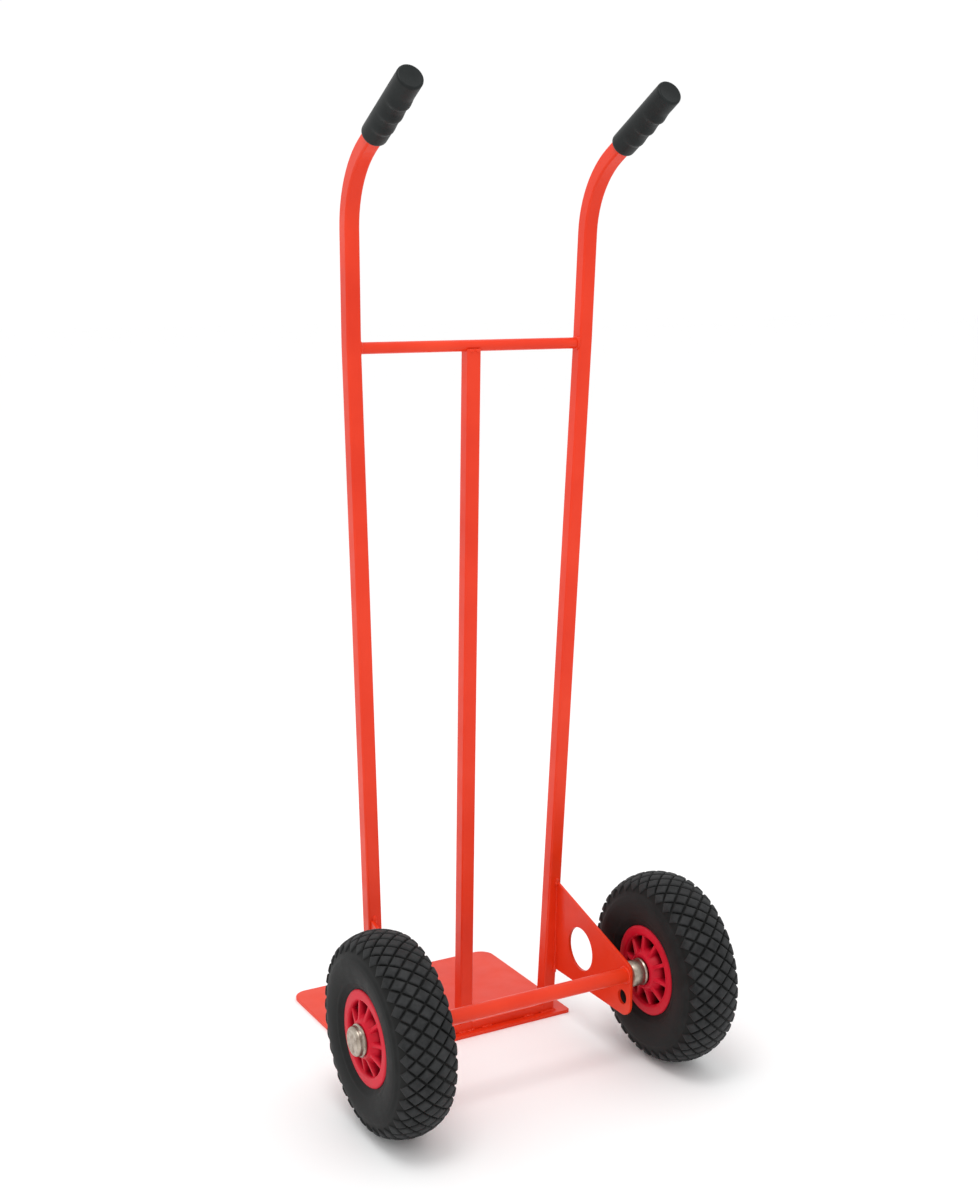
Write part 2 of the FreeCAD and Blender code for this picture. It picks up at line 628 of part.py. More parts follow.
def valve_run():
    """Bent stem: from the inner tube in through the barrel, then out towards -X."""
    foot, inward = valve_line()
    start_radius = inner_tube_radii()[0]
    turn_radius = RIM_SEAT_RADIUS - RIM_WALL - VALVE_DEPTH
    section = Part.Face(Part.Wire(Part.makeCircle(VALVE_DIAMETER / 2)))
    run = Run(section, foot - inward * start_radius, inward, X_AXIS)
    run.straight(start_radius - turn_radius - VALVE_BEND_RADIUS)
    run.bend(X_AXIS * -1, VALVE_BEND_RADIUS, 90)
    run.straight(VALVE_STRAIGHT)
    return run


def make_valve_stem():
    return valve_run().solid().cut(inner_tube_torus(inner_tube_radii()[1]))


def make_valve_cap():
    run = valve_run()
    cap = Part.makeCylinder(VALVE_CAP_DIAMETER / 2, VALVE_CAP_LENGTH, run.place, run.along)
    return cap.makeFillet(VALVE_CAP_ROUND, round_edges(cap))


def make_bearing_sleeve():
    return ring_x(SLEEVE_INNER_RADIUS, SLEEVE_OUTER_RADIUS,
                  HUB_INNER_X + SLEEVE_END_INSET, HUB_OUTER_X - SLEEVE_END_INSET)


def roller_places():
    turns = [2 * math.pi * index / ROLLER_COUNT for index in range(ROLLER_COUNT)]
    return [(AXLE_Y + ROLLER_PITCH_RADIUS * math.sin(turn),
             AXLE_Z + ROLLER_PITCH_RADIUS * math.cos(turn)) for turn in turns]


def make_rollers():
    return group([cylinder_x(ROLLER_RADIUS, WHEEL_X - ROLLER_HALF_LENGTH,
                             WHEEL_X + ROLLER_HALF_LENGTH, y, z)
                  for y, z in roller_places()])


def make_roller_cage():
    """Plastic cage that keeps the rollers apart."""
    half = ROLLER_HALF_LENGTH + CAGE_END_RING
    cage = ring_x(ROLLER_PITCH_RADIUS - CAGE_THICKNESS / 2,
                  ROLLER_PITCH_RADIUS + CAGE_THICKNESS / 2, WHEEL_X - half, WHEEL_X + half)
    reach = ROLLER_HALF_LENGTH + RUNNING_CLEARANCE
    pockets = [cylinder_x(ROLLER_RADIUS + RUNNING_CLEARANCE, WHEEL_X - reach,
                          WHEEL_X + reach, y, z) for y, z in roller_places()]
    return cage.cut(pockets)


def make_collar():
    """Flanged collar that keeps the wheel off the gusset."""
    end = GUSSET_OUTER_X + COLLAR_LENGTH
    lip = end - COLLAR_LIP_WIDTH
    body_r = AXLE_RADIUS + COLLAR_WALL
    lip_r = body_r + COLLAR_LIP_HEIGHT
    outline = [((GUSSET_OUTER_X, AXLE_RADIUS), (GUSSET_OUTER_X, body_r)),
               ((GUSSET_OUTER_X, body_r), (lip, body_r)),
               ((lip, body_r), ((lip + end) / 2, lip_r), (end, body_r)),
               ((end, body_r), (end, AXLE_RADIUS)),
               ((end, AXLE_RADIUS), (GUSSET_OUTER_X, AXLE_RADIUS))]
    return turned(outline)


def make_outer_washer():
    low = HUB_OUTER_X + SIDE_CLEARANCE
    return ring_x(AXLE_RADIUS, AXLE_RADIUS + WASHER_WALL, low, low + WASHER_THICKNESS)


def make_push_cap():
    """Domed cap with a rolled lip, and the sprung disc inside it that grips the axle."""
    base = CAP_FACE_X - CAP_HEIGHT
    lip = base + CAP_LIP_WIDTH
    outer_r = AXLE_RADIUS + CAP_MARGIN
    lip_r = outer_r + CAP_LIP_HEIGHT
    inner_r = outer_r - CAP_WALL
    inner_round = CAP_ROUND - CAP_WALL
    top = CAP_FACE_X - CAP_WALL
    disc = lip + CAP_WALL
    outline = [((base, AXLE_RADIUS), (base, lip_r)),
               ((base, lip_r), (lip, lip_r)),
               ((lip, lip_r), (lip, outer_r)),
               ((lip, outer_r), (CAP_FACE_X - CAP_ROUND, outer_r)),
               ((CAP_FACE_X - CAP_ROUND, outer_r),
                (CAP_FACE_X - CAP_ROUND * QUARTER_BULGE, outer_r - CAP_ROUND * QUARTER_BULGE),
                (CAP_FACE_X, outer_r - CAP_ROUND)),
               ((CAP_FACE_X, outer_r - CAP_ROUND), (CAP_FACE_X, 0)),
               ((CAP_FACE_X, 0), (top, 0)),
               ((top, 0), (top, inner_r - inner_round)),
               ((top, inner_r - inner_round),
                (top - inner_round * QUARTER_BULGE, inner_r - inner_round * QUARTER_BULGE),
                (top - inner_round, inner_r)),
               ((top - inner_round, inner_r), (disc, inner_r)),
               ((disc, inner_r), (disc, AXLE_RADIUS)),
               ((disc, AXLE_RADIUS), (base, AXLE_RADIUS))]
    return turned(outline)


# ---------------------------------------------------------------- assembly
def frame_parts():
    run = rail_run(hollow=True)
    left_rail = make_rail(run)
    solid_rail = rail_run(hollow=False).solid()
    solid_rails = group([solid_rail, mirrored(solid_rail)])
    crossbar = make_crossbar(solid_rails)
    centre_post, solid_post = make_post(post_run(hollow=True), post_run(hollow=False))
    toe_plate = make_toe_plate()
    foot_bar = make_foot_bar(solid_rails, solid_post)
    foot_bars = group([foot_bar, mirrored(foot_bar)])
    gusset = make_gusset(solid_rails)
    grip = make_grip(run)
    return {
        "left_rail": left_rail,
        "right_rail": mirrored(left_rail),
        "centre_post": centre_post,
        "crossbar": crossbar,
        "toe_plate": toe_plate,
        "left_foot_bar": foot_bar,
        "right_foot_bar": mirrored(foot_bar),
        "left_gusset": gusset,
        "right_gusset": mirrored(gusset),
        "axle": cylinder_x(AXLE_RADIUS, -AXLE_HALF_LENGTH, AXLE_HALF_LENGTH, AXLE_Y, AXLE_Z),
        "left_grip": grip,
        "right_grip": mirrored(grip),
        "crossbar_welds": make_crossbar_welds(solid_rails, crossbar),
        "post_top_welds": make_post_top_welds(solid_post, crossbar),
        "foot_welds": make_foot_welds(solid_rails, solid_post, foot_bars),
        "foot_bar_welds": make_foot_bar_welds(foot_bars, toe_plate),
        "gusset_welds": make_gusset_welds(gusset, solid_rails),
        "axle_welds": make_axle_welds(gusset),
    }


def wheel_parts():
    """Pieces of both wheels. Each wheel is the same assembly, so its valve faces -X."""
    same_way = {
        "tyre": make_tyre(),
        "inner_tube": make_inner_tube(),
        "valve_stem": make_valve_stem(),
        "valve_cap": make_valve_cap(),
        "rim": make_rim(),
        "bearing_sleeve": make_bearing_sleeve(),
        "roller_cage": make_roller_cage(),
        "rollers": make_rollers(),
    }
    handed = {
        "inner_collar": make_collar(),
        "outer_washer": make_outer_washer(),
        "push_cap": make_push_cap(),
    }
    centre = Vector(WHEEL_X, AXLE_Y, AXLE_Z)
    parts = {}
    for name, shape in same_way.items():
        right = shape.translated(X_AXIS * (-2 * WHEEL_X))
        parts["left_" + name] = shape.rotated(centre, X_AXIS, LEFT_WHEEL_TURN)
        parts["right_" + name] = right.rotated(centre, X_AXIS, RIGHT_WHEEL_TURN)
    for name, shape in handed.items():
        parts["left_" + name] = shape
        parts["right_" + name] = mirrored(shape)
    return parts


def main():
    os.makedirs("parts", exist_ok=True)
    for name, shape in {**frame_parts(), **wheel_parts()}.items():
        shape.exportStep("parts/" + name + ".step")


main()
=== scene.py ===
"""Looks of the hand truck: detailed pieces, materials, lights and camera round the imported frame.

Metres, in the frame's own axes: +Z is up, the toe plate points to -Y, and the axle runs along X.
Profiles of the wheels are (across, radius) points: across is measured along the axle from the
wheel's middle plane, and radius from the axle's centre.
"""
import bmesh
import bpy
import json
import math
import random
from mathutils import Matrix, Vector


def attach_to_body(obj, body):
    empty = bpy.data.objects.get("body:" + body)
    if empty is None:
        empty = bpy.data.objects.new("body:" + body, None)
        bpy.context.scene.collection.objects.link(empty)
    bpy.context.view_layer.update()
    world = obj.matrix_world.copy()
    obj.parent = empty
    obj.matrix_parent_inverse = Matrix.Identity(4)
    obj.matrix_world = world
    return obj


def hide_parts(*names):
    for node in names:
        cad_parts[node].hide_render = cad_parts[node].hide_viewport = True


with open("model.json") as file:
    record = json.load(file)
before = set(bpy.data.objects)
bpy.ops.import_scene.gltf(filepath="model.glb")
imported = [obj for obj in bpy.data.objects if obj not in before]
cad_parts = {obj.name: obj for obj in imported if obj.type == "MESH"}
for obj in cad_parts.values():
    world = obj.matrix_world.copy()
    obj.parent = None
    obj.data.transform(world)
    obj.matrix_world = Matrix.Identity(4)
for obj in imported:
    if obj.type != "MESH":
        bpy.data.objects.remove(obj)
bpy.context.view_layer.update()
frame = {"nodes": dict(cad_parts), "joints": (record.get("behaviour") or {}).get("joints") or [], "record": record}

MM = 0.001
Y_AXIS = Vector((0, 1, 0))

# ---------------------------------------------------------------- sizes, in millimetres
TYRE_RADIUS = 130.0
TYRE_HALF_WIDTH = 41.5
TYRE_WIDEST_RADIUS = 90.4
SHOULDER = (34.03, 119.76)
CROWN_ARC = 61.66
BEAD_ACROSS = 31.75
BEAD_TOE_ACROSS = 25.25
FLANGE_RADIUS = 61.75
SEAT_RADIUS = 51.0
TYRE_WALL = 6.5
CROWN_WALL = 9.0

TREAD_BLOCKS_ROUND = 38
TREAD_COLUMN_STEP = 12.3
TREAD_OUTER_COLUMN = 3
TREAD_DEPTH = 3.6
TREAD_EDGE_DEPTH = 1.7
TREAD_EDGE_SPAN = (26.0, 49.0)  # lengths from the crown's middle between which the depth changes
PLAIN_RELIEF = 0.25  # shade of the side walls, between the grooves' 0 and the blocks' 1
GROOVE_PROFILE = ((0.0, -1.0), (0.8, -1.0), (1.5, -0.34), (2.3, -0.12), (3.6, 0.0))  # distance, share
SIDE_BLEND = 13.0  # length over which the groove level meets the side wall
SIDE_RING_STEP = 2.2
SIDE_RIDGES = ((101.0, 0.5, 1.6), (71.0, 0.9, 2.2))  # radius, height, half width

RIM_HALF_WIDTH = 34.25
HUB_HALF_LENGTH = 39.0
HUB_BORE_RADIUS = 17.0
RIM_RIBS = 10
RIB_HALF_WIDTH = 2.7
POCKET_RIM_ACROSS = 30.5  # where the painted shade in the pockets begins, and over what depth it deepens
POCKET_SHADE_DEPTH = 9.0
LEFT_RIB_ANGLE = 8.0
RIGHT_RIB_ANGLE = 29.0

GRIP_RADIUS = 16.7
GRIP_LENGTH = 116.0
GRIP_RIDGES = ((38.5, 2.9), (63.5, 2.6), (88.5, 2.0))  # distance from the closed end, height
GRIP_BORE_HALF = 10.1
GRIP_BORE_CORNER = 3.1
GRIP_RIDGE_REACH = (13.0, 6.0)  # towards the closed end and towards the open end
GRIP_RIDGE_NARROWING = 2.4
GRIP_END_RINGS = ((0.4, GRIP_RADIUS), (0.4, 4.6), (0.1, 3.6), (0.0, 2.9), (0.1, 2.1),
                  (0.45, 1.2), (1.2, 0.45), (2.2, 0.1), (3.4, 0.0))  # distance, inset
GRIP_BODY_RINGS = (4.5, 1.5, 72)  # start, step, count
GRIP_MOUTH_RINGS = ((3.2, 0.1), (2.2, 0.4), (1.2, 1.0), (0.5, 1.8), (0.1, 2.8), (0.0, 3.8))
GRIP_BORE_PLACES = (GRIP_LENGTH, GRIP_LENGTH - 2.0, 60.0, 4.0)

UPPER_SPLAY = 1.1  # degrees outward and rearward, of the rails above the crossbar
UPPER_LEAN = 2.3
HANDLE_BEND_ANGLE = 58.0
RAIL_SPLAY = 2.08
RAIL_LEAN = 1.72
RAIL_FOOT = (136.0, -46.4)  # centre of the left rail, carried down to the floor
TUBE_HALF = 10.0
PLATE_TOP = 5.0
CROSSBAR_HEIGHT = 973.0
CROSSBAR_RADIUS = 7.5
GUSSET_INNER = 146.0
GUSSET_ENDS = (70.0, 205.0)  # heights where the gusset's joint with the rail begins and ends
AXLE_PLACE = (147.8, 130.0)
AXLE_RADIUS = 10.0
WELD_GAP = 0.4  # from a tube's face to the middle of the bead along it
DROP_PITCH = 2.2
DROP_VARIATION = 0.12  # share of a drop's radius
DROP_SHIFT = 0.25
BEAD_VOXEL = 0.55

COLLAR_ENDS = (61.0, 39.3)  # inward from the wheel's middle plane
COLLAR_RADIUS = 17.5
WASHER_ENDS = (39.3, 41.3)  # outward from the same plane
WASHER_RADIUS = 20.0
WASHER_EDGE = 0.4
CAP_FACE = 9.0  # the dented part of the cap is further out than this
CAP_DENTS = 7
CAP_DENT_SPREAD = 11.0
CAP_DENT_REACH = (3.0, 6.5)
CAP_DENT_DEPTH = (0.15, 0.5)
ROUND_SEGMENTS = 96


# ---------------------------------------------------------------- mesh helpers
def make_piece(name, vertices, faces, material, sharp_angle=50):
    """Closed mesh object from points in metres, welded, facing outward and smooth shaded."""
    mesh = bpy.data.meshes.new(name)
    mesh.from_pydata(vertices, [], faces)
    work = bmesh.new()
    work.from_mesh(mesh)
    bmesh.ops.remove_doubles(work, verts=work.verts, dist=0.02 * MM)
    bmesh.ops.recalc_face_normals(work, faces=work.faces)
    work.to_mesh(mesh)
    work.free()
    mesh.materials.append(material)
    mesh.shade_smooth()
    mesh.set_sharp_from_angle(angle=math.radians(sharp_angle))
    piece = bpy.data.objects.new(name, mesh)
    bpy.context.scene.collection.objects.link(piece)
    return piece


def attach(piece, body, slot, *nodes):
    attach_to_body(piece, body)
    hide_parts(*nodes)


def apply_modifiers(piece):
    """Replace the mesh with its evaluated one, so that no modifier is left."""
    depsgraph = bpy.context.evaluated_depsgraph_get()
    mesh = bpy.data.meshes.new_from_object(piece.evaluated_get(depsgraph))
    piece.modifiers.clear()
    piece.data = mesh
    mesh.shade_smooth()


def arc_points(start, middle, end, count):
    """Points on the circle through three points, both ends included."""
    (ax, ay), (bx, by), (cx, cy) = start, middle, end
    d = 2 * (ax * (by - cy) + bx * (cy - ay) + cx * (ay - by))
    ux = ((ax ** 2 + ay ** 2) * (by - cy) + (bx ** 2 + by ** 2) * (cy - ay)
          + (cx ** 2 + cy ** 2) * (ay - by)) / d
    uy = ((ax ** 2 + ay ** 2) * (cx - bx) + (bx ** 2 + by ** 2) * (ax - cx)
          + (cx ** 2 + cy ** 2) * (bx - ax)) / d
    radius = math.hypot(ax - ux, ay - uy)
    first = math.atan2(ay - uy, ax - ux)
    turn = (math.atan2(cy - uy, cx - ux) - first + math.pi) % (2 * math.pi) - math.pi
    return [(ux + radius * math.cos(first + turn * i / (count - 1)),
             uy + radius * math.sin(first + turn * i / (count - 1))) for i in range(count)]


def mirrored(profile):
    return [(-across, radius) for across, radius in profile]


def wheel_vertex(centre, across, radius, angle):
    """Point about a wheel's line, with the angle counted from +Y towards +Z, in radians."""
    return centre + Vector((across, radius * math.cos(angle), radius * math.sin(angle))) * MM


def ring_grid(rows, columns, closed_rows):
    """Quads of a grid that closes round its columns, and round its rows if asked."""
    faces = []
    for row in range(rows if closed_rows else rows - 1):
        following = (row + 1) % rows
        for column in range(columns):
            beside = (column + 1) % columns
            faces.append((row * columns + column, row * columns + beside,
                          following * columns + beside, following * columns + column))
    return faces


def revolved(name, profile, centre, material):
    """Mesh turned about a wheel's line from a closed profile."""
    vertices = [wheel_vertex(centre, across, radius, 2 * math.pi * step / ROUND_SEGMENTS)
                for across, radius in profile for step in range(ROUND_SEGMENTS)]
    faces = ring_grid(len(profile), ROUND_SEGMENTS, True)
    return make_piece(name, vertices, faces, material)


# ---------------------------------------------------------------- materials
def new_material(name, colour, roughness, specular=0.5, metallic=0.0):
    material = bpy.data.materials.new(name)
    material.use_nodes = True
    shader = material.node_tree.nodes["Principled BSDF"]
    shader.inputs["Base Color"].default_value = (*colour, 1)
    shader.inputs["Roughness"].default_value = roughness
    shader.inputs["Specular IOR Level"].default_value = specular
    shader.inputs["Metallic"].default_value = metallic
    return material, shader


def object_noise(material, scale, detail=4.0, roughness=0.5):
    """Noise value over the object's own coordinates."""
    nodes = material.node_tree.nodes
    links = material.node_tree.links
    place = nodes.new("ShaderNodeTexCoord")
    texture = nodes.new("ShaderNodeTexNoise")
    texture.inputs["Scale"].default_value = scale
    texture.inputs["Detail"].default_value = detail
    texture.inputs["Roughness"].default_value = roughness
    links.new(place.outputs["Object"], texture.inputs["Vector"])
    return texture.outputs["Fac"]


def colour_ramp(material, value, stops):
    """Colour from a value, by (position, colour) stops."""
    ramp = material.node_tree.nodes.new("ShaderNodeValToRGB")
    elements = ramp.color_ramp.elements
    while len(elements) < len(stops):
        elements.new(0.5)
    for element, (position, colour) in zip(elements, stops):
        element.position = position
        element.color = (*colour, 1)
    material.node_tree.links.new(value, ramp.inputs["Fac"])
    return ramp.outputs["Color"]


def map_value(material, value, low, high, new_low, new_high):
    node = material.node_tree.nodes.new("ShaderNodeMapRange")
    for name, number in (("From Min", low), ("From Max", high),
                         ("To Min", new_low), ("To Max", new_high)):
        node.inputs[name].default_value = number
    material.node_tree.links.new(value, node.inputs["Value"])
    return node.outputs["Result"]


def add_bump(material, shader, heights):
    """Chain of bumps from (value, strength, distance) entries."""
    normal = None
    for value, strength, distance in heights:
        bump = material.node_tree.nodes.new("ShaderNodeBump")
        bump.inputs["Strength"].default_value = strength
        bump.inputs["Distance"].default_value = distance
        material.node_tree.links.new(value, bump.inputs["Height"])
        if normal:
            material.node_tree.links.new(normal, bump.inputs["Normal"])
        normal = bump.outputs["Normal"]
    material.node_tree.links.new(normal, shader.inputs["Normal"])


def mix_colours(material, share, first, second):
    node = material.node_tree.nodes.new("ShaderNodeMix")
    node.data_type = "RGBA"
    links = material.node_tree.links
    links.new(share, node.inputs["Factor"])
    links.new(first, node.inputs["A"])
    links.new(second, node.inputs["B"])
    return node.outputs["Result"]


def paint_material():
    """Orange-red gloss paint over steel: faint blotches, orange peel and a soft sheen."""
    material, shader = new_material("orange_paint", (0.76, 0.037, 0.008), 0.38, 0.26)
    links = material.node_tree.links
    blotches = object_noise(material, 9.0, 5.0)
    colour = colour_ramp(material, blotches, ((0.30, (0.70, 0.029, 0.005)),
                                              (0.52, (0.76, 0.037, 0.008)),
                                              (0.72, (0.80, 0.047, 0.013))))
    links.new(colour, shader.inputs["Base Color"])
    smudges = object_noise(material, 34.0, 3.0)
    links.new(map_value(material, smudges, 0.35, 0.7, 0.28, 0.42), shader.inputs["Roughness"])
    peel = object_noise(material, 700.0, 2.0)
    flow = object_noise(material, 90.0, 2.0)
    add_bump(material, shader, ((peel, 0.10, 0.0004), (flow, 0.12, 0.0012)))
    return material


def tyre_material():
    """Black rubber, paler and dusty on the tops of the blocks, with a fine grain."""
    material, shader = new_material("tyre_rubber", (0.02, 0.02, 0.02), 0.62, 0.17)
    links = material.node_tree.links
    dust = object_noise(material, 60.0, 6.0, 0.65)
    dark = colour_ramp(material, dust, ((0.35, (0.004, 0.0042, 0.004)),
                                        (0.70, (0.010, 0.0105, 0.010))))
    pale = colour_ramp(material, dust, ((0.35, (0.013, 0.014, 0.0145)),
                                        (0.70, (0.036, 0.037, 0.038))))
    relief = material.node_tree.nodes.new("ShaderNodeAttribute")
    relief.attribute_name = "relief"
    colour = mix_colours(material, relief.outputs["Fac"], dark, pale)
    links.new(colour, shader.inputs["Base Color"])
    links.new(map_value(material, dust, 0.3, 0.7, 0.52, 0.72), shader.inputs["Roughness"])
    grain = object_noise(material, 1500.0, 2.0)
    add_bump(material, shader, ((grain, 0.25, 0.0003), (dust, 0.15, 0.0006)))
    return material


def rubber_material(name, colour, roughness):
    """Moulded rubber with a matte grain."""
    material, shader = new_material(name, colour, roughness, 0.2)
    links = material.node_tree.links
    cloud = object_noise(material, 45.0, 5.0, 0.6)
    darker = tuple(0.7 * part for part in colour)
    lighter = tuple(1.35 * part for part in colour)
    links.new(colour_ramp(material, cloud, ((0.3, darker), (0.7, lighter))),
              shader.inputs["Base Color"])
    links.new(map_value(material, cloud, 0.3, 0.7, roughness - 0.06, roughness + 0.08),
              shader.inputs["Roughness"])
    grain = object_noise(material, 1300.0, 2.0)
    add_bump(material, shader, ((grain, 0.3, 0.0003), (cloud, 0.1, 0.0008)))
    return material


def rim_material():
    """Red moulded plastic, slightly uneven, with a soft shine, and painted shade darkening the pockets."""
    material, shader = new_material("rim_plastic", (0.66, 0.008, 0.03), 0.42)
    links = material.node_tree.links
    cloud = object_noise(material, 28.0, 4.0)
    unshaded_colour = colour_ramp(material, cloud, ((0.3, (0.56, 0.003, 0.018)),
                                          (0.7, (0.66, 0.007, 0.030))))
    # Painted shade: near-black red for the pockets between the ribs, standing in for the shade that falls into
    # them.
    painted_shade = colour_ramp(material, cloud, ((0.3, (0.025, 0.0005, 0.001)),
                                          (0.7, (0.06, 0.0010, 0.003))))
    # The pocket share mixes in the painted shade and takes the specular away in the pockets.
    pocket = material.node_tree.nodes.new("ShaderNodeAttribute")
    pocket.attribute_name = "pocket"
    links.new(mix_colours(material, pocket.outputs["Fac"], unshaded_colour, painted_shade),
              shader.inputs["Base Color"])
    links.new(map_value(material, pocket.outputs["Fac"], 0.0, 1.0, 0.2, 0.0),
              shader.inputs["Specular IOR Level"])
    links.new(map_value(material, cloud, 0.3, 0.7, 0.36, 0.5), shader.inputs["Roughness"])
    grain = object_noise(material, 900.0, 2.0)
    add_bump(material, shader, ((grain, 0.12, 0.0003), (cloud, 0.1, 0.0010)))
    return material


def metal_material(name, colour, roughness, stain):
    """Plated or ground steel with fine marks and duller patches."""
    material, shader = new_material(name, colour, roughness, 0.5, 1.0)
    links = material.node_tree.links
    cloud = object_noise(material, 120.0, 6.0, 0.6)
    links.new(colour_ramp(material, cloud, ((0.3, stain), (0.62, colour))),
              shader.inputs["Base Color"])
    links.new(map_value(material, cloud, 0.3, 0.7, roughness + 0.12, roughness - 0.06),
              shader.inputs["Roughness"])
    marks = object_noise(material, 900.0, 3.0)
    add_bump(material, shader, ((marks, 0.08, 0.0003), (cloud, 0.12, 0.0008)))
    return material


# ---------------------------------------------------------------- tyre
def smooth_step(low, high, value):
    share = min(max((value - low) / (high - low), 0.0), 1.0)
    return share * share * (3 - 2 * share)


class Outline:
    """Half of the tyre's outer section, followed by length from the middle of the crown."""

    def __init__(self):
        half_turn = math.asin(SHOULDER[0] / CROWN_ARC) / 2
        crown_middle = (CROWN_ARC * math.sin(half_turn),
                        TYRE_RADIUS - CROWN_ARC * (1 - math.cos(half_turn)))
        crown = arc_points((0, TYRE_RADIUS), crown_middle, SHOULDER, 60)
        side = arc_points(SHOULDER, (TYRE_HALF_WIDTH, TYRE_WIDEST_RADIUS),
                          (BEAD_ACROSS, FLANGE_RADIUS), 110)
        points = crown + side[1:]
        self.points = self.rounded(points, len(crown))
        self.lengths = [0.0]
        for first, second in zip(self.points, self.points[1:]):
            self.lengths.append(self.lengths[-1] + math.dist(first, second))
        self.total = self.lengths[-1]

    @staticmethod
    def rounded(points, shoulder_index):
        """Soften the corner where the crown meets the side wall."""
        reach = 12
        for _ in range(25):
            relaxed = list(points)
            for i in range(shoulder_index - reach, shoulder_index + reach):
                relaxed[i] = tuple((a + b + 2 * c) / 4 for a, b, c in
                                   zip(points[i - 1], points[i + 1], points[i]))
            points = relaxed
        return points

    def at(self, length, lift):
        """Section point at a signed length from the crown's middle, raised along its normal."""
        distance = min(abs(length), self.total)
        index = 0
        while index < len(self.lengths) - 2 and self.lengths[index + 1] < distance:
            index += 1
        first, second = self.points[index], self.points[index + 1]
        span = self.lengths[index + 1] - self.lengths[index]
        share = (distance - self.lengths[index]) / span
        across = first[0] + (second[0] - first[0]) * share
        radius = first[1] + (second[1] - first[1]) * share
        normal = ((first[1] - second[1]) / span, (second[0] - first[0]) / span)
        across += normal[0] * lift
        radius += normal[1] * lift
        return math.copysign(across, length), radius


def tread_depth(length):
    return TREAD_DEPTH + (TREAD_EDGE_DEPTH - TREAD_DEPTH) * smooth_step(*TREAD_EDGE_SPAN, abs(length))


def groove_height(distance):
    """Share of the groove's depth at a distance from its middle."""
    for (near, low), (far, high) in zip(GROOVE_PROFILE, GROOVE_PROFILE[1:]):
        if distance < far:
            return low + (high - low) * (distance - near) / (far - near)
    return 0.0


def side_lift(length, radius):
    """Lift of the side wall beyond the blocks: up from the groove level, with two ridges."""
    edge = (TREAD_OUTER_COLUMN + 1) * TREAD_COLUMN_STEP
    lift = -TREAD_EDGE_DEPTH * (1 - smooth_step(edge, edge + SIDE_BLEND, abs(length)))
    for middle, height, half_width in SIDE_RIDGES:
        distance = abs(radius - middle) / half_width
        lift += height * (1 - smooth_step(0.4, 1.0, distance))
    return lift


def make_tyre(name, centre, material, phase):
    """Tyre with a lattice of lozenge blocks, smooth side walls, beads and an open inside."""
    outline = Outline()
    pitch = 2 * math.pi / TREAD_BLOCKS_ROUND
    half_edge = math.hypot(TREAD_COLUMN_STEP, TYRE_RADIUS * pitch / 2)
    width = TREAD_COLUMN_STEP * TYRE_RADIUS * pitch / half_edge
    steps = [distance / width for distance, _ in GROOVE_PROFILE] + [0.3]
    steps = steps + [0.5] + [1 - step for step in reversed(steps)]
    vertices = []
    relief = []
    faces = []

    def add_vertex(across_radius, angle, height):
        vertices.append(wheel_vertex(centre, *across_radius, angle + phase))
        relief.append(height)
        return len(vertices) - 1

    def add_cell(column, row):
        """One lozenge, or the inner half of one in the columns beyond the blocks."""
        edge_column = TREAD_OUTER_COLUMN + 1
        middle_length = column * TREAD_COLUMN_STEP
        middle_angle = (row + (column % 2) / 2) * pitch
        grid = {}
        for i, p in enumerate(steps):
            for j, q in enumerate(steps):
                if (column == edge_column and i > j) or (column == -edge_column and i < j):
                    continue
                length = middle_length + (p - q) * TREAD_COLUMN_STEP
                angle = middle_angle + (p + q - 1) * pitch / 2
                height = groove_height(min(p, q, 1 - p, 1 - q) * width)
                if abs(column) == edge_column:
                    height = -1.0
                point = outline.at(length, height * tread_depth(length))
                grid[i, j] = add_vertex(point, angle, 1 + height)
        for i in range(len(steps) - 1):
            for j in range(len(steps) - 1):
                corners = [grid.get(key) for key in ((i, j), (i + 1, j), (i + 1, j + 1),
                                                     (i, j + 1))]
                corners = [corner for corner in corners if corner is not None]
                if len(corners) > 2:
                    faces.append(corners)

    for column in range(-TREAD_OUTER_COLUMN - 1, TREAD_OUTER_COLUMN + 2):
        for row in range(TREAD_BLOCKS_ROUND):
            add_cell(column, row)

    # The rest of the section, from one edge of the tread round the beads to the other edge.
    edge = (TREAD_OUTER_COLUMN + 1) * TREAD_COLUMN_STEP
    side = []
    count = round((outline.total - edge) / SIDE_RING_STEP)
    for step in range(count + 1):
        length = edge + (outline.total - edge) * step / count
        radius = outline.at(length, 0.0)[1]
        side.append(outline.at(length, side_lift(length, radius)))
    cover = (SHOULDER[0] - TYRE_WALL / 2, SHOULDER[1] - CROWN_WALL)
    inside = arc_points((BEAD_TOE_ACROSS, FLANGE_RADIUS),
                        (TYRE_HALF_WIDTH - TYRE_WALL, TYRE_WIDEST_RADIUS), cover, 7)
    inside += [(SHOULDER[0] / 2, TYRE_RADIUS - CROWN_WALL - 1.8)]
    half = side + [(BEAD_ACROSS, SEAT_RADIUS), (BEAD_TOE_ACROSS, SEAT_RADIUS)] + inside
    section = half + [(0, TYRE_RADIUS - CROWN_WALL)] + mirrored(half)[::-1]
    angles = [(row + step - 0.5) * pitch for row in range(TREAD_BLOCKS_ROUND)
              for step in steps[:-1]]
    base = len(vertices)
    for point in section:
        for angle in angles:
            add_vertex(point, angle, PLAIN_RELIEF)
    for face in ring_grid(len(section), len(angles), False):
        faces.append([base + index for index in face])

    piece = make_piece(name, vertices, faces, material)
    paint_relief(piece, zip(vertices, relief))
    return piece


def place_key(place):
    return tuple(round(part, 5) for part in place)


def paint_relief(piece, samples):
    """Store how high each vertex stands, for the material, after doubles were merged."""
    table = {place_key(place): value for place, value in samples}
    attribute = piece.data.attributes.new("relief", "FLOAT", "POINT")
    for index, vertex in enumerate(piece.data.vertices):
        value = table.get(place_key(vertex.co), PLAIN_RELIEF)
        attribute.data[index].value = min(max(value, 0.0), 1.0)


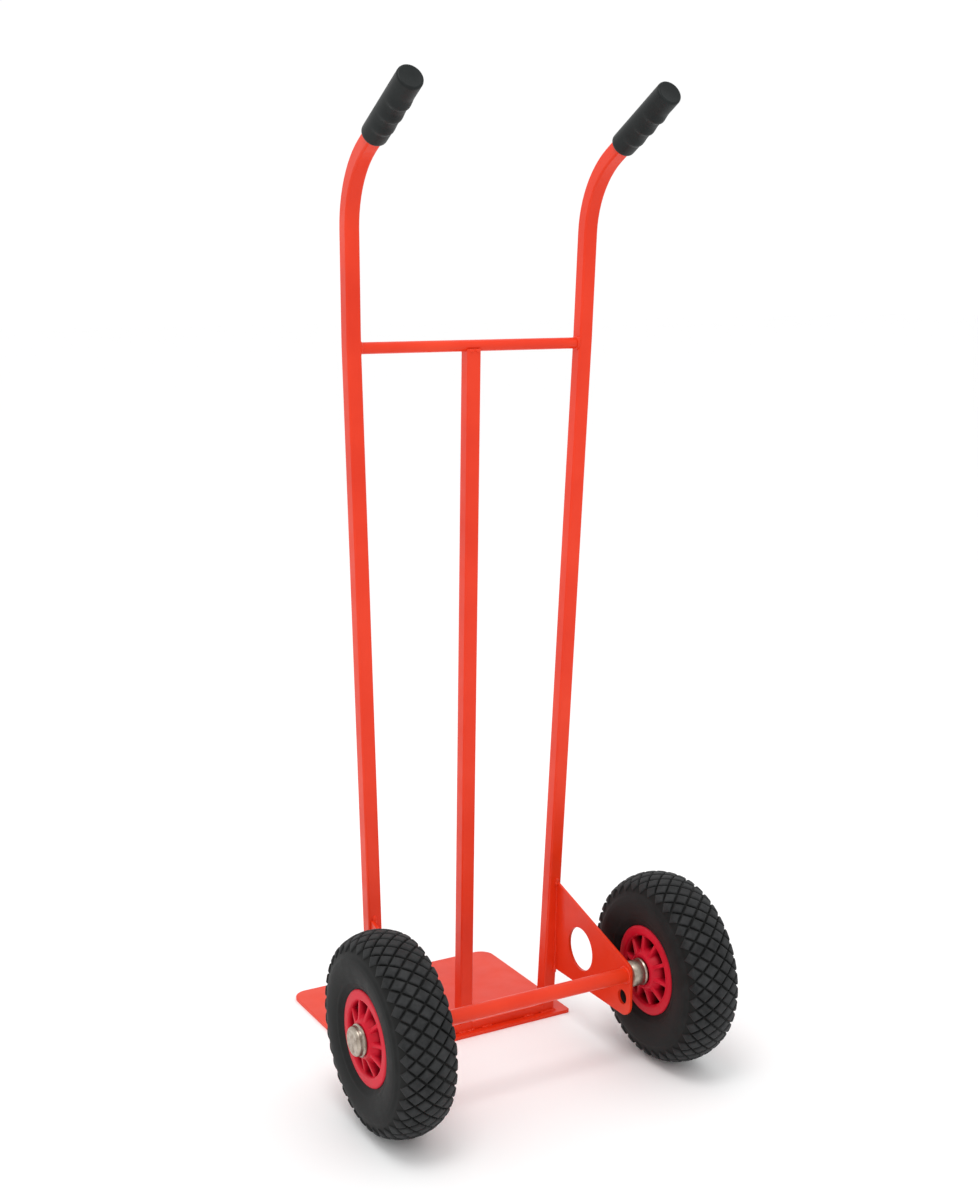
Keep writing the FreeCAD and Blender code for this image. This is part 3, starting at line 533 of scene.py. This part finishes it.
# ---------------------------------------------------------------- rim
def rib_section():
    """Section through the middle of a rib, from the hub's bore out to the bead seat."""
    rib = [(36.3 - 0.25 * (radius - 25.6), radius)
           for radius in (25.6, 27.2, 29.0, 31.0, 33.2, 35.4, 37.6, 39.8, 42.0, 44.2, 46.0)]
    return hub_end() + rib + ring_face()


def pocket_section():
    """Section between two ribs: down the hub's cone, over the web and up the barrel."""
    pocket = [(34.0, 26.8), (29.5, 29.2), (26.2, 30.9), (20.0, 31.3), (6.5, 31.8),
              (3.5, 33.4), (3.0, 36.0), (3.0, 43.0), (3.6, 45.8), (8.0, 46.7), (27.5, 47.0)]
    return hub_end() + pocket + ring_face()


def hub_end():
    half = HUB_HALF_LENGTH
    return [(half, HUB_BORE_RADIUS), (half, HUB_BORE_RADIUS + 0.9), (half, 22.4),
            (half - 0.5, 23.5), (half - 1.6, 24.5)]


def ring_face():
    face = RIM_HALF_WIDTH
    return [(face - 3.6, 47.1), (face - 1.7, 47.9), (face - 0.4, 49.0), (face, 50.2),
            (face, 54.5), (face, 58.9), (face - 0.5, 60.7), (face - 1.6, 61.6),
            (face - 2.1, FLANGE_RADIUS), (BEAD_ACROSS, FLANGE_RADIUS - 0.1),
            (BEAD_ACROSS, FLANGE_RADIUS - 0.9), (BEAD_ACROSS, SEAT_RADIUS + 0.6),
            (BEAD_ACROSS - 0.7, SEAT_RADIUS), (BEAD_ACROSS / 2, SEAT_RADIUS)]


def make_rim(name, centre, rib_angle, material):
    """One-piece rim: each face is a ring, deep pockets, tapered ribs and a conical hub."""
    rib = rib_section()
    pocket = pocket_section()
    sector = 2 * math.pi / RIM_RIBS
    # Each station is a section, how far it lies from a rib's middle, how much it lies towards
    # the middle of the pocket instead, and whether it belongs to this rib or to the next one.
    stations = [(rib, 0.0, 0.0, 0), (rib, RIB_HALF_WIDTH - 0.6, 0.0, 0),
                (rib, RIB_HALF_WIDTH, 0.0, 0), (pocket, RIB_HALF_WIDTH + 1.0, 0.0, 0),
                (pocket, RIB_HALF_WIDTH + 2.0, 0.0, 0), (pocket, RIB_HALF_WIDTH + 2.0, 0.5, 0)]
    back = [(section, -offset, blend, 1) for section, offset, blend, _ in stations[:0:-1]]
    order = stations + [(pocket, 0.0, 1.0, 0)] + back
    vertices = []
    for index in range(RIM_RIBS):
        for section, offset, blend, following in order:
            for across, radius in section + mirrored(section)[::-1]:
                side = following * sector + offset / radius
                angle = side + (sector / 2 - side) * blend
                angle += math.radians(rib_angle) + index * sector
                vertices.append(wheel_vertex(centre, across, radius, angle))
    faces = ring_grid(len(order) * RIM_RIBS, 2 * len(rib), True)
    piece = make_piece(name, vertices, faces, material)
    piece.modifiers.new("smooth", "SUBSURF").levels = 1
    apply_modifiers(piece)
    # Painted shade: each vertex gets a share that is highest deep in the pockets, between the hub's cone and the
    # barrel, and the share darkens the rim's colour there.
    shade = piece.data.attributes.new("pocket", "FLOAT", "POINT")
    for vertex in piece.data.vertices:
        offset = (vertex.co - centre) / MM
        radius = math.hypot(offset.y, offset.z)
        below = (POCKET_RIM_ACROSS - abs(offset.x)) / POCKET_SHADE_DEPTH
        inside = smooth_step(27.0, 32.0, radius) * (1 - smooth_step(47.3, 48.5, radius))
        shade.data[vertex.index].value = min(max(below, 0.0), 1.0) * inside
    return piece


# ---------------------------------------------------------------- zinc pieces of the axle
def cap_profile(base, direction):
    """Push cap: rolled lip, short wall, and a face with a stepped, slightly domed middle."""
    outside = [(0.0, AXLE_RADIUS), (0.0, 19.6), (0.15, 20.6), (0.7, 21.0), (1.2, 20.8), (1.6, 20.2),
               (1.9, 19.4), (2.6, 19.1), (5.6, 19.0), (7.0, 18.7), (8.2, 17.9), (9.1, 16.7),
               (9.6, 15.3), (9.7, 14.2), (9.45, 13.3), (9.2, 12.6), (9.25, 11.5), (9.5, 9.0),
               (9.8, 6.0), (9.95, 3.0), (10.0, 0.0)]
    inside = [(8.8, 0.0), (8.4, 12.0), (7.4, 16.4), (5.6, 17.8), (3.0, 17.8), (2.8, AXLE_RADIUS)]
    return [(base + direction * across, radius) for across, radius in outside + inside]


def make_push_cap(name, centre, base, direction, material, seed):
    """Push cap with shallow dents in its face."""
    piece = revolved(name, cap_profile(base, direction), centre, material)
    draws = random.Random(seed)
    spread = CAP_DENT_SPREAD
    dents = [(Vector((draws.uniform(-spread, spread), draws.uniform(-spread, spread))) * MM,
              draws.uniform(*CAP_DENT_REACH) * MM, draws.uniform(*CAP_DENT_DEPTH) * MM)
             for _ in range(CAP_DENTS)]
    face = centre.x + (base + direction * CAP_FACE) * MM
    for vertex in piece.data.vertices:
        if (vertex.co.x - face) * direction < 0:
            continue
        flat = Vector((vertex.co.y - centre.y, vertex.co.z - centre.z))
        for place, reach, depth in dents:
            share = (flat - place).length / reach
            if share < 1:
                vertex.co.x -= direction * depth * (1 - share * share) ** 2
    return piece


def collar_profile(direction):
    """Collar between gusset and hub: a plain barrel with a rounded, slightly raised end."""
    start, end = COLLAR_ENDS
    length = start - end
    outside = [(0.0, AXLE_RADIUS), (0.0, COLLAR_RADIUS - 0.4), (0.4, COLLAR_RADIUS)]
    outside += [(length - before, COLLAR_RADIUS + rise) for before, rise in
                ((5.0, 0.0), (4.2, 0.1), (3.4, 0.6), (2.4, 1.1), (1.6, 1.2), (0.8, 0.9),
                 (0.2, 0.2), (0.0, -0.6))]
    outside.append((length, AXLE_RADIUS))
    return [(direction * (across - start), radius) for across, radius in outside]


def washer_profile(direction):
    low, high = sorted(direction * end for end in WASHER_ENDS)
    rim, inner = WASHER_RADIUS, WASHER_RADIUS - WASHER_EDGE
    return [(low, AXLE_RADIUS), (low, inner), (low + WASHER_EDGE, rim),
            (high - WASHER_EDGE, rim), (high, inner), (high, AXLE_RADIUS)]


# ---------------------------------------------------------------- grips
def square_radius(angle, half, corner):
    """Distance from the middle of a rounded square to its edge, in a direction."""
    turn = (angle + math.pi / 4) % (math.pi / 2) - math.pi / 4
    flat = half - corner
    if half * abs(math.tan(turn)) <= flat:
        return half / math.cos(turn)
    middle = flat * math.sqrt(2)
    off = math.pi / 4 - abs(turn)
    return middle * math.cos(off) + math.sqrt(corner ** 2 - (middle * math.sin(off)) ** 2)


def grip_line(node, direction):
    """Middle of the grip's closed end, and the way that end faces."""
    run = Vector((direction * math.tan(math.radians(UPPER_SPLAY)),
                  math.tan(math.radians(UPPER_LEAN)), 1)).normalized()
    rearward = (Y_AXIS - run * run.y).normalized()
    turn = math.radians(HANDLE_BEND_ANGLE)
    axis = run * math.cos(turn) + rearward * math.sin(turn)
    points = [vertex.co for vertex in frame["nodes"][node].data.vertices]
    reach = max(point.dot(axis) for point in points)
    rim = [point for point in points if point.dot(axis) > reach - 0.1 * MM]
    return sum(rim, Vector()) / len(rim), axis


def grip_radius(along, angle):
    """Grip surface: finger ridges under it, steeper on the side of the open end."""
    under = max(0.0, math.cos(angle))
    radius = GRIP_RADIUS
    for place, height in GRIP_RIDGES:
        offset = along - place
        reach = GRIP_RIDGE_REACH[offset >= 0]
        share = max(0.0, 1 - abs(offset) / reach)
        radius += height * under ** GRIP_RIDGE_NARROWING * share * share * (3 - 2 * share)
    return radius


def make_grip(name, node, direction, material):
    """Closed rubber sleeve over the square tube, with finger ridges on its underside."""
    end, axis = grip_line(node, direction)
    side = Y_AXIS.cross(axis).normalized()
    under = axis.cross(side)
    body_start, body_step, body_count = GRIP_BODY_RINGS
    rings = [("round", along, inset) for along, inset in GRIP_END_RINGS]
    rings += [("round", body_start + body_step * step, 0.0) for step in range(body_count)]
    rings += [("round", GRIP_LENGTH - tail, inset) for tail, inset in GRIP_MOUTH_RINGS]
    rings += [("square", along, 0.0) for along in GRIP_BORE_PLACES]
    rings.append(("centre", GRIP_BORE_PLACES[-1], 0.0))
    vertices = []
    for kind, along, inset in rings:
        for step in range(ROUND_SEGMENTS):
            angle = 2 * math.pi * step / ROUND_SEGMENTS
            if kind == "round":
                radius = max(grip_radius(along, angle) - inset, 0.0)
            elif kind == "square":
                radius = square_radius(angle, GRIP_BORE_HALF, GRIP_BORE_CORNER)
            else:
                radius = 0.0
            around = under * math.cos(angle) + side * math.sin(angle)
            vertices.append(end + (around * radius - axis * along) * MM)
    return make_piece(name, vertices, ring_grid(len(rings), ROUND_SEGMENTS, False), material)


# ---------------------------------------------------------------- weld beads
def make_bead(name, places, material, seed):
    """Weld metal: overlapping drops of uneven size, fused and softened under the paint."""
    draws = random.Random(seed)
    work = bmesh.new()
    for place, radius in places:
        size = radius * draws.uniform(1 - DROP_VARIATION, 1 + DROP_VARIATION)
        shift = Vector([draws.uniform(-DROP_SHIFT, DROP_SHIFT) for _ in range(3)]) * MM
        matrix = Matrix.Translation(place + shift) @ Matrix.Scale(size, 4)
        bmesh.ops.create_icosphere(work, subdivisions=3, radius=1.0, matrix=matrix)
    mesh = bpy.data.meshes.new(name)
    work.to_mesh(mesh)
    work.free()
    mesh.materials.append(material)
    piece = bpy.data.objects.new(name, mesh)
    bpy.context.scene.collection.objects.link(piece)
    fuse = piece.modifiers.new("fuse", "REMESH")
    fuse.mode = "VOXEL"
    fuse.voxel_size = BEAD_VOXEL * MM
    soften = piece.modifiers.new("soften", "SMOOTH")
    soften.factor = 0.5
    soften.iterations = 4
    apply_modifiers(piece)
    return piece


def line_places(start, end, bead):
    """Drops of one radius along a line between two points, all in millimetres."""
    first, last = Vector(start), Vector(end)
    count = max(1, round((last - first).length / DROP_PITCH))
    return [(first.lerp(last, step / count) * MM, bead * MM) for step in range(count + 1)]


def circle_places(x, y, z, radius, bead):
    """Drops of one radius round a circle about a line along X."""
    count = round(2 * math.pi * radius / DROP_PITCH)
    places = []
    for step in range(count):
        angle = 2 * math.pi * step / count
        middle = Vector((x, y + radius * math.cos(angle), z + radius * math.sin(angle)))
        places.append((middle * MM, bead * MM))
    return places


def both_sides(places):
    return places + [(Vector((-place.x, place.y, place.z)), bead) for place, bead in places]


def rail_at(height):
    """Centre of the left rail's lower run at a height."""
    x, y = RAIL_FOOT
    return (x + height * math.tan(math.radians(RAIL_SPLAY)),
            y + height * math.tan(math.radians(RAIL_LEAN)))


def make_welds():
    """Beads and tacks, one piece for each group of welds in the CAD."""
    bar_x, bar_y = rail_at(CROSSBAR_HEIGHT)
    bar_end = bar_x - TUBE_HALF - WELD_GAP
    places = circle_places(bar_end, bar_y, CROSSBAR_HEIGHT, CROSSBAR_RADIUS + 0.3, 2.3)
    places += line_places((bar_end, bar_y + 7.6, CROSSBAR_HEIGHT + 2.5),
                          (bar_end + 1.5, bar_y + 8.4, CROSSBAR_HEIGHT + 6.5), 2.3)
    add_weld("crossbar_beads", "crossbar_welds", both_sides(places), 11)

    under_bar = CROSSBAR_HEIGHT - CROSSBAR_RADIUS
    places = []
    for face in (-1, 1):
        wall = bar_y + face * (TUBE_HALF - 0.6)
        for offset in (-4.6, 4.9):
            places += line_places((offset - 1.2, wall, under_bar + 0.8),
                                  (offset + 1.2, wall, under_bar + 1.2), 2.5)
        places += line_places((-TUBE_HALF + 1, wall - 1.6 * face, under_bar + 1.6),
                              (TUBE_HALF - 1, wall - 1.6 * face, under_bar + 1.6), 1.6)
    add_weld("post_top_beads", "post_top_welds", places, 12)

    places = []
    for x, mirror in ((RAIL_FOOT[0] + 0.2, both_sides), (0.0, list)):
        reach = TUBE_HALF + WELD_GAP
        corners = [(x + across * reach, RAIL_FOOT[1] + along * reach, PLATE_TOP)
                   for across, along in ((-1, 1), (1, 1), (1, -1), (-1, -1))]
        foot = []
        for start, end in zip(corners, corners[1:] + corners[:1]):
            foot += line_places(start, end, 2.2)
        places += mirror(foot)
    add_weld("foot_beads", "foot_welds", places, 13)

    places = []
    rear = RAIL_FOOT[1] + TUBE_HALF + WELD_GAP
    for low, high in ((27.0, 40.0), (97.0, 109.0)):
        places += line_places((low, rear, PLATE_TOP + 0.3), (high, rear, PLATE_TOP + 0.3), 2.2)
    add_weld("foot_bar_beads", "foot_bar_welds", both_sides(places), 14)

    low_end, high_end = [(GUSSET_INNER - WELD_GAP, rail_at(height)[1] + TUBE_HALF + WELD_GAP,
                          height) for height in GUSSET_ENDS]
    places = line_places(low_end, high_end, 1.5)
    for x, y, z in (low_end, high_end):
        places += line_places((x - 0.6, y + 0.2, z - 3), (x - 0.6, y + 0.2, z + 3), 2.9)
    add_weld("gusset_beads", "gusset_welds", both_sides(places), 15)

    places = circle_places(GUSSET_INNER - 0.2, *AXLE_PLACE, AXLE_RADIUS + 0.4, 2.0)
    add_weld("axle_beads", "axle_welds", both_sides(places), 16)


def add_weld(name, node, places, seed):
    attach(make_bead(name, places, PAINT, seed), "frame", "weld_paint", node)


# ---------------------------------------------------------------- build: materials
PAINT = paint_material()
TYRE_RUBBER = tyre_material()
GRIP_RUBBER = rubber_material("grip_rubber", (0.009, 0.0115, 0.0115), 0.46)
TUBE_RUBBER = rubber_material("tube_rubber", (0.025, 0.025, 0.025), 0.55)
RIM_PLASTIC = rim_material()
ZINC = metal_material("zinc", (0.48, 0.42, 0.35), 0.32, (0.24, 0.19, 0.15))
STEEL = metal_material("bearing_steel", (0.60, 0.60, 0.60), 0.24, (0.50, 0.50, 0.50))
CAGE = rubber_material("cage_plastic", (0.62, 0.60, 0.52), 0.45)

SLOT_MATERIALS = {"orange_paint": PAINT, "weld_paint": PAINT, "grip_rubber": GRIP_RUBBER,
                  "tyre_rubber": TYRE_RUBBER, "tube_rubber": TUBE_RUBBER,
                  "rim_plastic": RIM_PLASTIC, "zinc": ZINC, "bearing_steel": STEEL,
                  "cage_plastic": CAGE}
for subpart in frame["record"]["subparts"]:
    cad_mesh = frame["nodes"][subpart["node"]].data
    cad_mesh.materials.clear()
    cad_mesh.materials.append(SLOT_MATERIALS[subpart["material_slot"]])

# ---------------------------------------------------------------- build: wheels
JOINTS = {joint["name"]: joint for joint in frame["joints"]}
for side_name, direction, rib_angle, seed in (("left", 1, LEFT_RIB_ANGLE, 3),
                                              ("right", -1, RIGHT_RIB_ANGLE, 8)):
    wheel_centre = Vector(JOINTS[side_name + "_wheel_spin"]["pos_m"])
    wheel_body = side_name + "_wheel"
    tyre = make_tyre(side_name + "_treaded_tyre", wheel_centre, TYRE_RUBBER, 0.03 * seed)
    attach(tyre, wheel_body, "tyre_rubber", side_name + "_tyre")
    rim = make_rim(side_name + "_moulded_rim", wheel_centre, rib_angle, RIM_PLASTIC)
    attach(rim, wheel_body, "rim_plastic", side_name + "_rim")

    cap_base = WASHER_ENDS[1] * direction
    cap = make_push_cap(side_name + "_axle_cap", wheel_centre, cap_base, direction, ZINC, seed)
    attach(cap, "frame", "zinc", side_name + "_push_cap")
    collar = revolved(side_name + "_axle_collar", collar_profile(direction), wheel_centre, ZINC)
    attach(collar, "frame", "zinc", side_name + "_inner_collar")
    washer = revolved(side_name + "_axle_washer", washer_profile(direction), wheel_centre, ZINC)
    attach(washer, "frame", "zinc", side_name + "_outer_washer")
    grip = make_grip(side_name + "_hand_grip", side_name + "_grip", direction, GRIP_RUBBER)
    attach(grip, "frame", "grip_rubber", side_name + "_grip")
make_welds()


# ---------------------------------------------------------------- surroundings
def make_floor():
    mesh = bpy.data.meshes.new("floor")
    reach = 30.0
    mesh.from_pydata([(-reach, -reach, 0), (reach, -reach, 0), (reach, reach, 0),
                      (-reach, reach, 0)], [], [(0, 1, 2, 3)])
    material, _ = new_material("floor", (0.985, 0.985, 0.985), 0.9, 0.05)
    mesh.materials.append(material)
    floor = bpy.data.objects.new("floor", mesh)
    bpy.context.scene.collection.objects.link(floor)


def add_area_light(name, place, target, size, power):
    light = bpy.data.lights.new(name, "AREA")
    light.shape = "DISK"
    light.size = size
    light.energy = power
    lamp = bpy.data.objects.new(name, light)
    lamp.location = place
    lamp.rotation_euler = (Vector(target) - Vector(place)).to_track_quat("-Z", "Y").to_euler()
    bpy.context.scene.collection.objects.link(lamp)


def make_world():
    world = bpy.data.worlds.new("studio")
    world.use_nodes = True
    background = world.node_tree.nodes["Background"]
    background.inputs["Color"].default_value = (1, 1, 1, 1)
    background.inputs["Strength"].default_value = 1.02
    bpy.context.scene.world = world


def make_camera():
    """Camera behind the truck and to its left, a little above the crossbar."""
    azimuth = math.radians(150.618)
    elevation = math.radians(11.195)
    roll = math.radians(-0.026)
    back = Vector((math.sin(azimuth) * math.cos(elevation),
                   -math.cos(azimuth) * math.cos(elevation), math.sin(elevation)))
    right = Vector((0, 0, 1)).cross(back).normalized()
    up = back.cross(right)
    rotation = Matrix((right, up, back)).transposed() @ Matrix.Rotation(roll, 3, "Z")
    data = bpy.data.cameras.new("camera")
    data.sensor_fit = "AUTO"
    data.sensor_width = 36.0
    data.lens = 49.87
    data.clip_end = 100.0
    camera = bpy.data.objects.new("camera", data)
    camera.matrix_world = (Matrix.Translation((1.05366, 1.90101, 1.06820))
                           @ rotation.to_4x4())
    bpy.context.scene.collection.objects.link(camera)
    bpy.context.scene.camera = camera


make_floor()
make_world()
add_area_light("key", place=(0.7, 0.8, 3.2), target=(0, 0, 0.6), size=1.2, power=22)
make_camera()
bpy.context.scene.view_settings.view_transform = "Standard"
